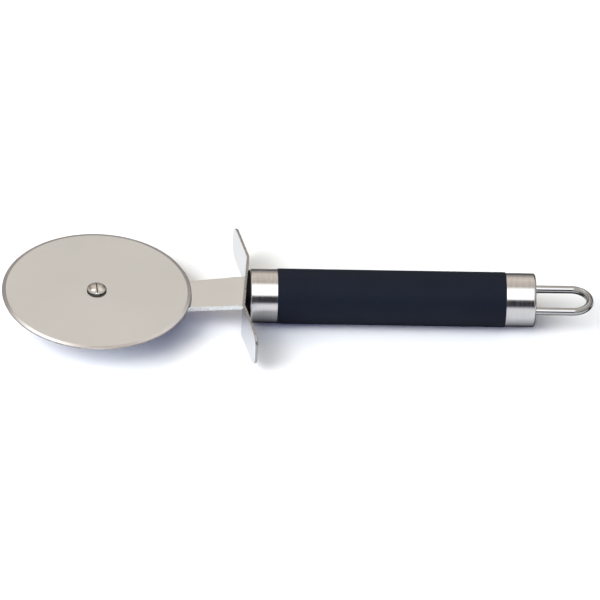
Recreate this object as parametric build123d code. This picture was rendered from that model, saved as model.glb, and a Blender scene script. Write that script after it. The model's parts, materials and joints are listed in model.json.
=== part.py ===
from build123d import *
import math
import os

# A round cutting wheel on a flat arm, with a bent thumb guard, a soft sleeved
# handle between two steel ends and a wire hanging loop. Millimetres throughout.
# +X runs along the handle towards the loop, +Z is up, and the origin is the
# middle of the footprint, on the surface that the handle lies on.

# Cutting wheel
wheel_diameter = 70.0
wheel_thickness = 1.0
wheel_edge_thickness = 0.15
wheel_bevel_width = 1.45

# Axle: a slotted button screw clamps a bush that the wheel turns on
screw_diameter = 4.0
bush_wall = 0.9
screw_head_diameter = 7.3
screw_head_height = 1.35
screw_head_rim = 0.35
screw_slot_width = 0.55
screw_slot_depth = 0.55
screw_slot_turn = 4.0
screw_tip_gap = 0.8
head_washer_inset = 0.2
head_washer_thickness = 0.25
spacer_diameter = 12.0
spacer_thickness = 0.35
lock_washer_diameter = 7.6
lock_washer_thickness = 0.9
lock_washer_gap_width = 0.5
nut_across_flats = 7.0
nut_hex_height = 2.8
nut_dome_height = 2.4
nut_dome_wall = 1.0
nut_corner_break = 0.35

# Arm: one flat bar, cranked upwards between the wheel and the guard
arm_thickness = 1.75
arm_drop = 0.1
arm_rise = 2.0
arm_width_at_axle = 12.8
arm_width_at_guard = 18.0
arm_crank_lead = 2.0
arm_crank_setback = 3.4
arm_crank_radius = 6.0
tang_width = 12.0
tang_length = 46.0
tang_corner = 2.0

# Thumb guard: a bent strip that the arm passes through
rim_to_guard = 19.9
guard_gap = 0.3
guard_length = 70.0
guard_height = 14.0
guard_thickness = 1.0
guard_corner = 5.0
guard_fold_span = 29.4
guard_fold_radius = 3.0
guard_cant = 4.5
guard_sweep = 12.5

# Handle
ferrule_diameter = 20.0
ferrule_length = 10.15
ferrule_corner = 1.3
cap_length = 11.1
cap_corner = 1.0
end_wall = 1.0
cup_wall = 0.55
grip_proud = 0.2
grip_length = 84.4
grip_corner = 0.25
core_wall = 0.7
plug_backing = 4.0
plug_chamfer = 0.4
pin_diameter = 3.0
pin_place_share = 0.7
pin_recess = 0.9
pin_chamfer = 0.3

# Hanging loop, bent from round wire
loop_wire = 2.85
loop_edge_wall = 0.5
loop_reach = 21.9
loop_root_depth = 13.0
loop_end_chamfer = 0.3

# Clearances, and the overrun of every cut
running_gap = 0.05
axial_play = 0.05
fit_gap = 0.05
bolt_gap = 0.1
slot_gap = 0.1
end_gap = 0.3
overrun = 5.0

# Sizes that follow from the fits
wheel_radius = wheel_diameter / 2
bolt_hole_radius = screw_diameter / 2 + bolt_gap
bush_radius = bolt_hole_radius + bush_wall
head_washer_radius = screw_head_diameter / 2 - head_washer_inset
nut_bore_depth = nut_hex_height + nut_dome_height - nut_dome_wall
ferrule_radius = ferrule_diameter / 2
grip_radius = ferrule_radius + grip_proud
core_radius = ferrule_radius - cup_wall - fit_gap
core_bore_radius = core_radius - core_wall
plug_radius = core_bore_radius - fit_gap
front_plug_length = tang_length - end_wall + plug_backing
rear_plug_length = loop_root_depth + plug_backing
loop_hole_radius = loop_wire / 2 + fit_gap
loop_radius = plug_radius - loop_edge_wall - loop_hole_radius

# Distances from the wheel's axle, along the handle
cant_slope = math.tan(math.radians(guard_cant))
sweep_slope = math.tan(math.radians(guard_sweep))
axle_to_guard = wheel_radius + rim_to_guard
axle_to_ferrule = axle_to_guard + guard_thickness / 2 + ferrule_radius * cant_slope + guard_gap
axle_to_grip = axle_to_ferrule + ferrule_length
axle_to_cap = axle_to_grip + grip_length
axle_to_cap_end = axle_to_cap + cap_length
axle_to_loop_end = axle_to_cap_end + loop_reach
overall_length = wheel_radius + axle_to_loop_end

# Places along X
axle_x = wheel_radius - overall_length / 2
guard_x = axle_x + axle_to_guard
ferrule_x = axle_x + axle_to_ferrule
grip_x = axle_x + axle_to_grip
cap_x = axle_x + axle_to_cap
cap_end_x = axle_x + axle_to_cap_end
loop_end_x = axle_x + axle_to_loop_end
crank_start_x = axle_x + wheel_radius - arm_crank_lead
crank_end_x = guard_x - arm_crank_setback
tang_end_x = ferrule_x + tang_length
pin_x = ferrule_x + tang_length * pin_place_share
core_start_x = ferrule_x + end_wall
core_end_x = cap_end_x - end_wall
loop_centre_x = loop_end_x - loop_wire / 2 - loop_radius

# Heights, from the surface that the handle lies on
axis_z = grip_radius
arm_top_z = axis_z - arm_drop
arm_under_z = arm_top_z - arm_thickness
wheel_under_z = arm_top_z + spacer_thickness + axial_play
wheel_top_z = wheel_under_z + wheel_thickness
bush_top_z = wheel_top_z + axial_play
head_under_z = bush_top_z + head_washer_thickness
nut_top_z = arm_under_z - lock_washer_thickness
screw_tip_z = nut_top_z - nut_bore_depth + screw_tip_gap
tang_mid_z = arm_top_z + arm_rise - arm_thickness / 2


def upright(radius, bottom, height):
    """A round bar about the wheel's axle."""
    return Pos(axle_x, 0, bottom + height / 2) * Cylinder(radius, height)


def lengthwise(radius, start, length):
    """A round bar about the handle's axis."""
    turn = Rot(0, 90, 0)
    return Pos(start + length / 2, 0, axis_z) * turn * Cylinder(radius, length)


def turned(points):
    """A solid of revolution about the axle, from (radius, height) points."""
    outline = Polyline([(axle_x + r, 0, z) for r, z in points], close=True)
    return revolve(make_face(outline), Axis((axle_x, 0, 0), (0, 0, 1)))


def cutting_wheel():
    """The disc, ground to an edge from both faces."""
    middle = (wheel_under_z + wheel_top_z) / 2
    half_edge = wheel_edge_thickness / 2
    bore = bush_radius + running_gap
    flat = wheel_radius - wheel_bevel_width
    return turned([
        (bore, wheel_under_z),
        (flat, wheel_under_z),
        (wheel_radius, middle - half_edge),
        (wheel_radius, middle + half_edge),
        (flat, wheel_top_z),
        (bore, wheel_top_z),
    ])


def ring(outer, inner, bottom, thickness):
    """A flat ring about the axle."""
    body = upright(outer, bottom, thickness)
    return body - upright(inner, bottom - overrun, thickness + 2 * overrun)


def wheel_bush():
    """The sleeve that carries the wheel, clamped on the arm."""
    return ring(bush_radius, bolt_hole_radius, arm_top_z, bush_top_z - arm_top_z)


def spacer_washer():
    """Keeps the wheel's face clear of the arm."""
    return ring(spacer_diameter / 2, bush_radius + fit_gap, arm_top_z, spacer_thickness)


def head_washer():
    """Sits on the bush and holds the wheel down."""
    return ring(head_washer_radius, bolt_hole_radius, bush_top_z, head_washer_thickness)


def lock_washer():
    """A split ring under the arm, its gap turned away from the guard."""
    body = ring(lock_washer_diameter / 2, bolt_hole_radius, nut_top_z, lock_washer_thickness)
    split = Box(lock_washer_diameter, lock_washer_gap_width, lock_washer_thickness + 2 * overrun)
    return body - Pos(axle_x - lock_washer_diameter / 2, 0, nut_top_z) * split


def dome(radius, height, bottom):
    """A cap of a sphere, flat at the bottom, about the axle."""
    sphere_radius = (radius ** 2 + height ** 2) / (2 * height)
    ball = Pos(axle_x, 0, bottom + height - sphere_radius) * Sphere(sphere_radius)
    return ball & upright(radius + overrun, bottom, height + overrun)


def axle_screw():
    """Button head with a driving slot, and a plain shank down into the nut."""
    head_radius = screw_head_diameter / 2
    crown = dome(head_radius, screw_head_height - screw_head_rim, head_under_z + screw_head_rim)
    head = upright(head_radius, head_under_z, screw_head_rim) + crown
    slot = Box(screw_slot_width, screw_head_diameter + overrun, screw_slot_depth + overrun)
    slot_floor = head_under_z + screw_head_height - screw_slot_depth
    slot_middle = slot_floor + (screw_slot_depth + overrun) / 2
    head -= Pos(axle_x, 0, slot_middle) * Rot(0, 0, screw_slot_turn) * slot
    return head + upright(screw_diameter / 2, screw_tip_z, head_under_z - screw_tip_z)


def axle_nut():
    """Domed hexagon nut that closes the screw's end under the arm."""
    flat_radius = nut_across_flats / 2
    hex_under_z = nut_top_z - nut_hex_height
    hexagon = RegularPolygon(flat_radius, 6, major_radius=False)
    body = Pos(axle_x, 0, hex_under_z) * extrude(hexagon, nut_hex_height)
    corner_radius = flat_radius / math.cos(math.radians(30))
    body = body & turned([
        (0, nut_top_z),
        (corner_radius - nut_corner_break, nut_top_z),
        (corner_radius, nut_top_z - nut_corner_break),
        (corner_radius, hex_under_z),
        (0, hex_under_z),
    ])
    crown = dome(flat_radius - nut_corner_break, nut_dome_height, hex_under_z)
    body += crown.rotate(Axis((axle_x, 0, hex_under_z), (1, 0, 0)), 180)
    bore_floor = nut_top_z - nut_bore_depth
    return body - upright(screw_diameter / 2 + fit_gap, bore_floor, nut_bore_depth + overrun)


def arm_outline():
    """Plan of the arm and its tang, seen from above."""
    nose_radius = arm_width_at_axle / 2
    half_guard = arm_width_at_guard / 2
    half_tang = tang_width / 2
    taper = math.atan2(half_guard - nose_radius, axle_to_guard)
    touch_x = axle_x - nose_radius * math.sin(taper)
    touch_y = nose_radius * math.cos(taper)
    side = [
        (touch_x, touch_y),
        (guard_x, half_guard),
        (ferrule_x, half_guard),
        (ferrule_x, half_tang),
        (tang_end_x, half_tang),
    ]
    other_side = [(x, -y) for x, y in reversed(side)]
    nose = ThreePointArc(other_side[-1], (axle_x - nose_radius, 0), side[0])
    return make_face(Curve() + [Polyline(side + other_side), nose])


def arm_profile():
    """Side view of the bar: level under the wheel, cranked up, level again."""
    front = axle_x - arm_width_at_axle
    low = arm_top_z - arm_thickness / 2
    path = FilletPolyline(
        (front, 0, low),
        (crank_start_x, 0, low),
        (crank_end_x, 0, tang_mid_z),
        (tang_end_x + overrun, 0, tang_mid_z),
        radius=arm_crank_radius,
    )
    section = Plane(origin=(front, 0, low), x_dir=(0, 1, 0), z_dir=(1, 0, 0))
    return sweep(section * Rectangle(2 * arm_width_at_guard, arm_thickness), path)


def arm():
    """The bar that holds the wheel, with the tang that runs into the handle."""
    low = arm_under_z - overrun
    height = arm_thickness + arm_rise + 2 * overrun
    plan = extrude(Pos(0, 0, low) * arm_outline(), height)
    plan = fillet(plan.edges().filter_by(Axis.Z).sort_by(Axis.X)[-2:], tang_corner)
    bar = arm_profile() & plan
    bar -= upright(bolt_hole_radius, low, height)
    return bar - Pos(pin_x, 0, tang_mid_z) * Cylinder(pin_diameter / 2 + fit_gap, height)


def arm_slot(gap, start, length, width):
    """The space that the arm or tang needs where it passes through."""
    block = Box(length, width + 2 * gap, arm_thickness + 2 * gap)
    return Pos(start + length / 2, 0, tang_mid_z) * block


def thumb_guard():
    """A strip with a canted middle and two wings swept the other way."""
    fold_y = guard_fold_span / 2
    fold_x = fold_y * cant_slope
    tip_y = guard_length / 2 + overrun
    tip_x = fold_x - (tip_y - fold_y) * sweep_slope
    start = (guard_x - tip_x, -tip_y, axis_z)
    path = FilletPolyline(
        start,
        (guard_x - fold_x, -fold_y, axis_z),
        (guard_x + fold_x, fold_y, axis_z),
        (guard_x + tip_x, tip_y, axis_z),
        radius=guard_fold_radius,
    )
    section = Plane(origin=start, x_dir=(0, 0, 1), z_dir=path % 0)
    strip = sweep(section * Rectangle(guard_height, guard_thickness), path)
    face = Plane(origin=(guard_x, 0, axis_z), x_dir=(0, 1, 0), z_dir=(1, 0, 0))
    outline = face * RectangleRounded(guard_length, guard_height, guard_corner)
    strip = strip & extrude(outline, guard_length / 2, both=True)
    reach = guard_thickness + arm_width_at_guard * cant_slope + overrun
    return strip - arm_slot(slot_gap, guard_x - reach / 2, reach, arm_width_at_guard)


def end_cup(start, length, corner, open_end):
    """A steel cup over one end of the core tube; open_end is +1 for open towards +X."""
    body = lengthwise(ferrule_radius, start, length)
    rims = body.edges().filter_by(GeomType.CIRCLE).sort_by(Axis.X)
    closed_rim = rims[0] if open_end > 0 else rims[-1]
    body = fillet(closed_rim, corner)
    bore_start = start + end_wall if open_end > 0 else start - overrun
    return body - lengthwise(core_radius + fit_gap, bore_start, length - end_wall + overrun)


def front_ferrule():
    """Steel cup at the front, with a slot for the tang."""
    cup = end_cup(ferrule_x, ferrule_length, ferrule_corner, 1)
    reach = end_wall + 2 * end_gap
    return cup - arm_slot(slot_gap, ferrule_x - end_gap, reach, tang_width)


def loop_holes(start, length):
    """The two round holes that the loop's legs pass through."""
    turn = Rot(0, 90, 0)
    hole = turn * Cylinder(loop_hole_radius, length)
    middle = start + length / 2
    return [Pos(middle, side * loop_radius, axis_z) * hole for side in (-1, 1)]


def rear_cap():
    """Steel cup at the back, with two holes for the loop."""
    cup = end_cup(cap_x, cap_length, cap_corner, -1)
    return cup - loop_holes(cap_end_x - end_wall - overrun / 2, end_wall + overrun)


def core_tube():
    """Thin steel tube that joins the two cups and carries the grip."""
    length = core_end_x - core_start_x
    body = lengthwise(core_radius, core_start_x, length)
    return body - lengthwise(core_bore_radius, core_start_x - overrun, length + 2 * overrun)


def grip_sleeve():
    """Soft sleeve between the two cups, a touch proud of them."""
    body = lengthwise(grip_radius, grip_x, grip_length)
    body = fillet(body.edges().filter_by(GeomType.CIRCLE), grip_corner)
    return body - lengthwise(core_radius + fit_gap, grip_x - overrun, grip_length + 2 * overrun)


def plug(start, length):
    """A round block that fills one end of the core tube."""
    body = lengthwise(plug_radius, start, length)
    return chamfer(body.edges().filter_by(GeomType.CIRCLE), plug_chamfer)


def front_plug():
    """Holds the tang, and takes the cross pin."""
    body = plug(core_start_x, front_plug_length)
    depth = tang_length - end_wall + end_gap
    body -= arm_slot(slot_gap, core_start_x - overrun, depth + overrun, tang_width)
    hole = Cylinder(pin_diameter / 2 + fit_gap, 4 * core_radius)
    return body - Pos(pin_x, 0, axis_z) * hole


def tang_pin():
    """Cross pin through the plug and the tang."""
    length = 2 * (plug_radius - pin_recess)
    body = Pos(pin_x, 0, axis_z) * Cylinder(pin_diameter / 2, length)
    return chamfer(body.edges().filter_by(GeomType.CIRCLE), pin_chamfer)


def rear_plug():
    """Holds the two legs of the hanging loop."""
    body = plug(core_end_x - rear_plug_length, rear_plug_length)
    depth = loop_root_depth + end_gap
    return body - loop_holes(core_end_x - depth, depth + overrun)


def hanging_loop():
    """Round wire bent into a U, its legs set in the rear plug."""
    root_x = core_end_x - loop_root_depth
    near = (loop_centre_x, -loop_radius, axis_z)
    far = (loop_centre_x, loop_radius, axis_z)
    crown = (loop_centre_x + loop_radius, 0, axis_z)
    legs = [Line((root_x, -loop_radius, axis_z), near), Line(far, (root_x, loop_radius, axis_z))]
    path = Wire([legs[0], ThreePointArc(near, crown, far), legs[1]])
    section = Plane(origin=(root_x, -loop_radius, axis_z), z_dir=(1, 0, 0))
    body = sweep(section * Circle(loop_wire / 2), path)
    return chamfer(body.edges().filter_by(GeomType.CIRCLE).sort_by(Axis.X)[:2], loop_end_chamfer)


parts = {
    "cutting_wheel": cutting_wheel,
    "wheel_bush": wheel_bush,
    "axle_screw": axle_screw,
    "head_washer": head_washer,
    "spacer_washer": spacer_washer,
    "lock_washer": lock_washer,
    "axle_nut": axle_nut,
    "arm": arm,
    "thumb_guard": thumb_guard,
    "front_ferrule": front_ferrule,
    "front_plug": front_plug,
    "tang_pin": tang_pin,
    "core_tube": core_tube,
    "grip_sleeve": grip_sleeve,
    "rear_cap": rear_cap,
    "rear_plug": rear_plug,
    "hanging_loop": hanging_loop,
}

os.makedirs("parts", exist_ok=True)
for name, make in parts.items():
    solid = make()
    export_step(solid, f"parts/{name}.step")
    size = solid.bounding_box().size
    print(f"{name}: {size.X:.2f} x {size.Y:.2f} x {size.Z:.2f} mm")
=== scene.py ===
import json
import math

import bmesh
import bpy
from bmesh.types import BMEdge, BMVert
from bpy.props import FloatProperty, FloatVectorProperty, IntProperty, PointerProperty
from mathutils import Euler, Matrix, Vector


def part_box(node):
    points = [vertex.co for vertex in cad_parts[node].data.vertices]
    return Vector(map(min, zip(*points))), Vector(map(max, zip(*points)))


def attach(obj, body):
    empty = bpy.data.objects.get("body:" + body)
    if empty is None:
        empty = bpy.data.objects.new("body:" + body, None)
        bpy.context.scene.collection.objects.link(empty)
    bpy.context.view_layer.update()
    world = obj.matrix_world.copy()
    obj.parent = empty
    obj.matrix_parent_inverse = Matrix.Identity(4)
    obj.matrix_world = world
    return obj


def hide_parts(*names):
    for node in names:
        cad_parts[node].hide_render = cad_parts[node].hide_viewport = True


bl_info = {
    "name": "Cutting wheel with a sleeved handle",
    "version": (1, 0, 0),
    "blender": (4, 5, 0),
    "location": "3D View > Sidebar > Cutter",
    "description": "Models and finishes a round kitchen cutting wheel on its packed frame",
    "category": "Object",
}

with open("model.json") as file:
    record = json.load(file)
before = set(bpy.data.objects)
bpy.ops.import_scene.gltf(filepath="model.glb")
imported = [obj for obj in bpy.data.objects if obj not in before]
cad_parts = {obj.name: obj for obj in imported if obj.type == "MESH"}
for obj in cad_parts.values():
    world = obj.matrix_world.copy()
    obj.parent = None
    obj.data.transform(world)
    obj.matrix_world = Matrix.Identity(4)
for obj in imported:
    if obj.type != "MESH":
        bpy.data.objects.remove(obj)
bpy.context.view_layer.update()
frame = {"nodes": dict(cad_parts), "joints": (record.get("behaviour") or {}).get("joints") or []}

# Lengths are in metres, and one millimetre is the unit that the real sizes are given in.
MM = 0.001
MICRON = 1e-6
HANDLE = "handle"
WHEEL = "wheel"

# A quarter turn, half of a hexagon's turn from corner to corner, and what lies along the handle
QUARTER = math.radians(90.0)
HEX_HALF = math.radians(30.0)
LENGTHWISE = Matrix.Rotation(QUARTER, 4, "Y")

# Facets of the small pieces, steps along their arcs, and cuts on each side of a bend's middle
FINE_FACETS = 96
RING_FACETS = 72
AXLE_HOLE_FACETS = 64
SMALL_HOLE_FACETS = 48
NOSE_STEPS = 48
CROWN_STEPS = 14
DOME_STEPS = 16
BEND_CUTS = 4

# Small gaps and roundings of the axle's hardware
BORE_GAP = 0.05 * MM
HEAD_BREAK = 0.03 * MM
NUT_BREAK = 0.06 * MM

# The least turns in degrees that are shaded as sharp, and the least turn that is softened
SHARP = 30.0
BLADE_SHARP = 10.0
GUARD_SHARP = 35.0
CUP_SHARP = 40.0
BREAK_ANGLE = math.radians(35.0)

# How square to a plate's depth a face has to look to be one of its flats, when its rims are
# found and when its two finishes are shared out
RIM_LOOK = 0.5
FLAT_LOOK = 0.9

# How far from its middle a face still belongs to the screw's slot, as a share of its width
SLOT_SHARE = 0.51

# The middle range of a noise, the grain of rolled sheet, and how much darker or lighter than the
# finish next to them
# two edges are: the honed edge's darker tone is painted shade, the arm's lighter cut edge a painted
# highlight
NOISE_RANGE = (0.3, 0.7)
ROLLED_GRAIN = (260.0, 2600.0, 2600.0)
SHEAR_LINES = (900, 900, 2600)
HONED_PAINTED_SHADE = 0.55
ARM_EDGE_PAINTED_HIGHLIGHT = 1.1

# The room that the steel mirrors: degrees from the camera's side over the top to the far side
ROOM_BANDS = (
    (0.0, (0.70, 0.70, 0.76)),
    (4.0, (0.70, 0.70, 0.76)),
    (8.0, (0.03, 0.03, 0.045)),
    (34.0, (0.02, 0.02, 0.03)),
    (42.0, (2.1, 2.1, 2.1)),
    (80.0, (2.1, 2.1, 2.1)),
    (94.0, (0.68, 0.62, 0.55)),
    (118.0, (0.82, 0.73, 0.64)),
    (148.0, (0.86, 0.77, 0.68)),
    (157.0, (0.44, 0.40, 0.36)),
    (166.0, (0.44, 0.41, 0.39)),
    (173.0, (0.12, 0.12, 0.12)),
)
# How bright the far wall is, from the left (-1) to the right (1), and where it starts
WALL_SIDES = ((-0.24, 0.38), (-0.14, 1.0), (0.17, 1.0), (0.28, 0.32))
WALL_START = (122.0, 136.0)
# How much of these bands is seen, from the left to the right, on the near side and on the far
# side; the rest of the room is a plain glow from the horizon (0) to straight above (1)
NEAR_SHARE = ((-0.16, 0.0), (-0.04, 1.0), (0.14, 1.0), (0.26, 0.0))
FAR_SHARE = ((-0.50, 0.0), (-0.34, 1.0), (0.38, 1.0), (0.54, 0.0))
FAR_START = (84.0, 100.0)
GLOW = ((0.0, 0.30), (0.15, 0.46), (0.45, 0.66), (1.0, 0.78))
GLOW_TONE = (1.0, 0.95, 0.89)
# On the right that glow is darker low down: where this starts, from the left (-1) to the right
# (1), and its own levels from the horizon to straight above
DARK_SIDE = ((0.38, 0.0), (0.50, 1.0))
DARK_GLOW = ((0.0, 0.03), (0.18, 0.04), (0.34, 0.50), (1.0, 0.78))
# Two small lamps that the polished parts show as glints: way, start and end of the edge, glow
LAMPS = (
    ((-0.145, 0.56, 0.82), (0.9925, 0.9978), 1.5),
    ((0.28, 0.63, 0.73), (0.975, 0.992), 0.35),
)

# The soft lights: degrees above the floor, degrees round from the camera's side towards the
# right, size in metres, share of the floor's light and tone
LIGHTS = (
    ("high left", 50.0, 320.0, 2.0, 0.41, (0.95, 1.0, 0.98)),
    ("middle left", 35.0, 300.0, 1.3, 0.29, (1.0, 0.98, 1.0)),
    ("back left", 35.0, 250.0, 1.5, 0.147, (0.84, 0.92, 1.0)),
    ("high back", 50.0, 200.0, 2.0, 0.19, (1.0, 0.80, 0.53)),
    ("low right", 15.0, 90.0, 1.0, 0.085, (0.87, 0.99, 1.0)),
    ("low front", 25.0, 0.0, 1.5, 0.065, (0.25, 0.30, 1.0)),
)
LIGHT_DISTANCE = 2.0

# How bright the floor is in the steel, by the distance from the handle's axis towards the back:
# dimmer than the camera sees it, and nearly black far behind the handle as painted shade
FLOOR_MIRRORED_SHADE = ((0.0, 0.76), (0.050, 0.76), (0.085, 0.08))
# What is left of that under the handle, a painted shadow, by the distance from its axis, and where
# the handle starts
FLOOR_GAP_SHADOW = ((0.0, 0.05), (0.006, 0.08), (0.009, 0.42), (0.012, 0.72), (0.018, 1.0))
GAP_START = (-0.0175, -0.0165)
FLOOR_RADIUS = 8.0

# The camera: the point in millimetres that it looks at, its sensor in millimetres, and the
# nearest and farthest that it sees in metres
CAMERA_TARGET = (0.576, -2.235, 10.2)
SENSOR_WIDTH = 36.0
CLIP_RANGE = (0.05, 60.0)


def half(low, high):
    """Half of a box's width across the handle: the radius of what is round."""
    return (high.y - low.y) / 2


# Places that the frame gives
axle = Vector(frame["joints"][0]["pos_m"])
wheel_low, wheel_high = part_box("cutting_wheel")
screw_low, screw_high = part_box("axle_screw")
nut_low, nut_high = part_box("axle_nut")
arm_low, arm_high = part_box("arm")
guard_low, guard_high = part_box("thumb_guard")
ferrule_low, ferrule_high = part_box("front_ferrule")
cap_low, cap_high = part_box("rear_cap")
grip_low, grip_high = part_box("grip_sleeve")
loop_low, loop_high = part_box("hanging_loop")
pin_low, pin_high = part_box("tang_pin")
head_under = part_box("head_washer")[1].z
axis_z = (grip_low.z + grip_high.z) / 2
guard_x = (guard_low.x + guard_high.x) / 2
pin_x = (pin_low.x + pin_high.x) / 2
bush_radius = half(*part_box("wheel_bush"))
head_radius = half(screw_low, screw_high)
arm_half = half(arm_low, arm_high)
ferrule_radius = half(ferrule_low, ferrule_high)
wire_radius = (loop_high.z - loop_low.z) / 2
bend_radius = half(loop_low, loop_high) - wire_radius


def length(name, value, description):
    """A size that a user may change, given in millimetres."""
    return FloatProperty(
        name=name, description=description, default=value * MM, min=0.0, unit="LENGTH", precision=5
    )


def angle(name, value, description):
    """An angle that a user may change, given in degrees."""
    turn = math.radians(value)
    return FloatProperty(name=name, description=description, default=turn, subtype="ANGLE")


def colour(name, value, description):
    """A colour that a user may change, given as linear red, green and blue."""
    return FloatVectorProperty(
        name=name, description=description, default=value, size=3, min=0.0, max=1.0, subtype="COLOR"
    )


class CutterWheelSizes(bpy.types.PropertyGroup):
    """Sizes of the cutting wheel."""

    bevel_width: length("Bevel width", 1.45, "Width of the ground ring at the wheel's rim")
    hone_width: length("Hone width", 0.20, "Width of the steeper ring at the very edge")
    grind: angle("Grind", 12.0, "Slope of the ground ring")
    edge_thickness: length("Edge thickness", 0.15, "Thickness left at the very edge")
    running_gap: length("Running gap", 0.05, "Play between the wheel's bore and the bush")
    steps: IntProperty(name="Steps", description="Facets round the wheel", default=240, min=24)


class CutterAxleSizes(bpy.types.PropertyGroup):
    """Sizes of the screw, washers and nut."""

    head_shoulder: length("Head shoulder", 1.0, "Rounding of the screw head's shoulder")
    # The screw head's lowest band takes a near-black finish: painted shade for the gap under its
    # rim
    painted_shade_height: length("Dark rim", 0.36, "Height of the dirt under the screw's head")
    slot_width: length("Slot width", 0.45, "Width of the driving slot")
    slot_depth: length("Slot depth", 0.55, "Depth of the driving slot")
    slot_turn: angle("Slot turn", 4.0, "How far the slot is turned from square to the handle")
    shank_radius: length("Shank radius", 2.0, "Radius of the screw's shank")
    hole_radius: length("Hole radius", 2.1, "Radius of the holes that the screw passes")
    washer_break: length("Washer break", 0.06, "Rounding of the washers' edges")
    lock_gap: length("Lock gap", 0.5, "Width of the lock washer's split")
    hex_height: length("Hexagon height", 2.8, "Height of the nut's hexagon")
    corner_break: length("Corner break", 0.35, "Chamfer on the hexagon's corners")
    bore_depth: length("Bore depth", 4.2, "Depth of the nut's bore")


class CutterArmSizes(bpy.types.PropertyGroup):
    """Sizes of the arm and its tang."""

    thickness: length("Thickness", 1.75, "Thickness of the bar")
    nose_width: length("Nose width", 12.8, "Width of the bar round the axle")
    crank_lead: length("Crank lead", 2.0, "How far inside the wheel's rim the crank starts")
    crank_setback: length("Crank setback", 3.4, "How far before the guard the crank ends")
    crank_ease: length("Crank ease", 0.6, "Half of the length over which the crank bends")
    tang_width: length("Tang width", 12.0, "Width of the tang in the handle")
    tang_corner: length("Tang corner", 2.0, "Rounding of the tang's end")
    pin_clearance: length("Pin clearance", 0.05, "Gap round the cross pin")
    edge_break: length("Edge break", 0.14, "Rounding of the bar's long edges")


class CutterGuardSizes(bpy.types.PropertyGroup):
    """Sizes of the thumb guard."""

    thickness: length("Thickness", 1.0, "Thickness of the strip")
    corner: length("Corner", 5.0, "Rounding of the strip's four corners")
    fold_span: length("Fold span", 29.4, "Distance between the two folds")
    fold_ease: length("Fold ease", 0.55, "Half of the length over which a fold bends")
    cant: angle("Cant", 4.5, "Turn of the middle from square to the handle")
    sweep: angle("Sweep", 12.5, "Turn of the wings the other way")
    slot_gap: length("Slot gap", 0.1, "Gap round the arm where it passes through")
    edge_break: length("Edge break", 0.12, "Rounding of the strip's edges")


class CutterHandleSizes(bpy.types.PropertyGroup):
    """Sizes of the two steel ends and the soft sleeve."""

    ferrule_corner: length("Ferrule corner", 0.6, "Rounding of the front end")
    cap_corner: length("Cap corner", 1.0, "Rounding of the back end")
    cup_wall: length("Cup wall", 0.55, "Wall of the two steel ends")
    end_wall: length("End wall", 1.0, "Closed end of each steel end")
    mouth_break: length("Mouth break", 0.12, "Rounding of each steel end's open rim")
    grip_corner: length("Grip corner", 0.25, "Rounding of the sleeve's two ends")
    slot_gap: length("Slot gap", 0.1, "Gap round the tang in the front end")
    # Painted shade: a near-black wedge fills the gap between the guard and the front end; this is
    # the gap on each side of it
    gap_shade_clearance: length("Collar gap", 0.03, "Gap on each side of the dark collar")
    steps: IntProperty(name="Steps", description="Facets round the handle", default=128, min=24)


class CutterLoopSizes(bpy.types.PropertyGroup):
    """Sizes of the hanging loop."""

    hole_gap: length("Hole gap", 0.05, "Gap round each leg where it enters the cap")
    end_chamfer: length("End chamfer", 0.3, "Chamfer of the wire's two ends")
    steps: IntProperty(name="Steps", description="Facets round the wire", default=36, min=12)
    bend_steps: IntProperty(name="Bend steps", description="Steps in the bend", default=56, min=8)


class CutterFinishes(bpy.types.PropertyGroup):
    """Colours of the object's finishes."""

    blade: colour("Blade", (0.71, 0.74, 0.76), "Satin faces of the wheel")
    ground_edge: colour("Ground edge", (0.70, 0.70, 0.72), "Ground ring at the wheel's rim")
    arm: colour("Arm", (0.74, 0.77, 0.79), "Satin faces of the arm")
    guard: colour("Guard", (0.76, 0.77, 0.80), "Polished faces of the guard")
    cut_edge: colour("Cut edge", (0.40, 0.395, 0.40), "Sheared edges of the guard")
    ends: colour("Handle ends", (0.64, 0.635, 0.64), "Turned steel of the handle's two ends")
    wire: colour("Wire", (0.47, 0.475, 0.485), "Polished wire of the loop")
    fixings: colour("Fixings", (0.70, 0.69, 0.67), "Screw, washers, nut, pin and tube")
    grip: colour("Grip", (0.0048, 0.0070, 0.0134), "Soft sleeve")
    plugs: colour("Plugs", (0.012, 0.012, 0.014), "Moulded plugs of the handle")
    # Painted shade: the near-black of the wedge that fills the gap behind the guard, standing in
    # for the shade there
    gap_shade: colour("Collar", (0.003, 0.003, 0.0035), "Collar between the guard and the handle")
    # Painted shade: the near-black under the screw's head, standing in for the shadow in the gap
    # there
    painted_shade: colour("Grime", (0.004, 0.004, 0.004), "Dark dirt under the screw's head")
    # Painted shade: a dark tone in the screw's slot, for the shade in that narrow recess
    slot_painted_shade: colour("Slot grime", (0.09, 0.08, 0.072), "Dark dirt in the screw's slot")
    bush: colour("Bush", (0.78, 0.57, 0.28), "Brass bush in the wheel")


class CutterStudio(bpy.types.PropertyGroup):
    """The floor, the lights and the camera."""

    floor: colour("Floor", (0.90, 0.90, 0.905), "Pale floor")
    power: FloatProperty(
        name="Power",
        description="Watts of a light straight above that would light the floor alone",
        default=66.0,
    )
    azimuth: angle("Azimuth", -3.572, "Where the camera stands round the object")
    elevation: angle("Elevation", 37.428, "How far the camera looks down")
    roll: angle("Roll", 3.113, "How far the camera is turned about its own axis")
    distance: length("Distance", 2954.7, "From the camera to the point that it looks at")
    lens: FloatProperty(name="Lens", description="Focal length in millimetres", default=480.0)


SIZE_GROUPS = {
    "cutter_wheel": CutterWheelSizes,
    "cutter_axle": CutterAxleSizes,
    "cutter_arm": CutterArmSizes,
    "cutter_guard": CutterGuardSizes,
    "cutter_handle": CutterHandleSizes,
    "cutter_loop": CutterLoopSizes,
    "cutter_finishes": CutterFinishes,
    "cutter_studio": CutterStudio,
}


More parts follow.
